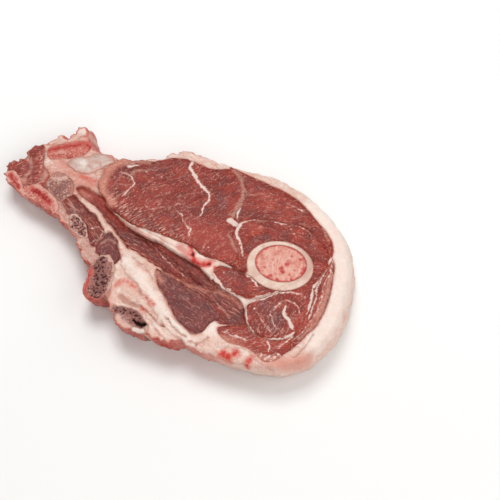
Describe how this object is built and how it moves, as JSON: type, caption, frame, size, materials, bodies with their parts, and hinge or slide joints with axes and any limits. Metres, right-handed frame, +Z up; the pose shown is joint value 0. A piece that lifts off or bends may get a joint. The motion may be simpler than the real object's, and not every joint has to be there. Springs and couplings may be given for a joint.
{
  "type": "raw lamb chop",
  "caption": "Raw lamb shoulder chop: a thick slice across the arm bone, with a round marrow bone, muscles, ribs and an outer fat cover, lying flat with the cut face up.",
  "frame": {"origin": "centre of the footprint box, on the board the chop lies on", "axes": "+X along the long side towards the thick end with the round bone, +Y towards the back of the chop with the large eye muscle, +Z up through the slice to the cut face"},
  "size_m": [0.168, 0.1344, 0.019],
  "materials": {
    "lean": "moist raw muscle, soft sheen",
    "deep_lean": "moist dark raw muscle with fine pale fibres",
    "purple_lean": "moist purple raw muscle",
    "fat": "waxy off-white fat with pink tints",
    "tendon": "glossy pale tendon and seam fat",
    "bone": "sawn cream bone",
    "red_bone": "sawn spongy bone filled with red marrow",
    "marrow": "soft pink marrow",
    "cartilage": "smooth grey-white cartilage"
  },
  "bodies": {
    "root": {"bone_marrow": "marrow", "arm_bone": "bone", "crescent_muscle": "lean", "eye_muscle": "lean", "outer_muscle": "lean", "under_bone_muscle": "lean", "oval_muscle": "lean", "side_strip_muscle": "lean", "bottom_muscle": "lean", "long_muscle": "deep_lean", "purple_muscle": "purple_lean", "flecked_muscle": "deep_lean", "rib_bone_lower": "red_bone", "rib_gap_muscle": "purple_lean", "rib_bone_middle": "red_bone", "rib_muscle": "deep_lean", "spongy_bone": "red_bone", "rib_bone_upper": "red_bone", "spine_bone": "red_bone", "tip_bone": "red_bone", "tip_muscle": "deep_lean", "spine_cartilage": "cartilage", "breast_bone": "red_bone", "tendon_wedge": "tendon", "seam_membrane": "tendon", "spine_fat": "fat", "rib_fat": "fat", "fat_cover": "fat"}
  },
  "joints": []
}
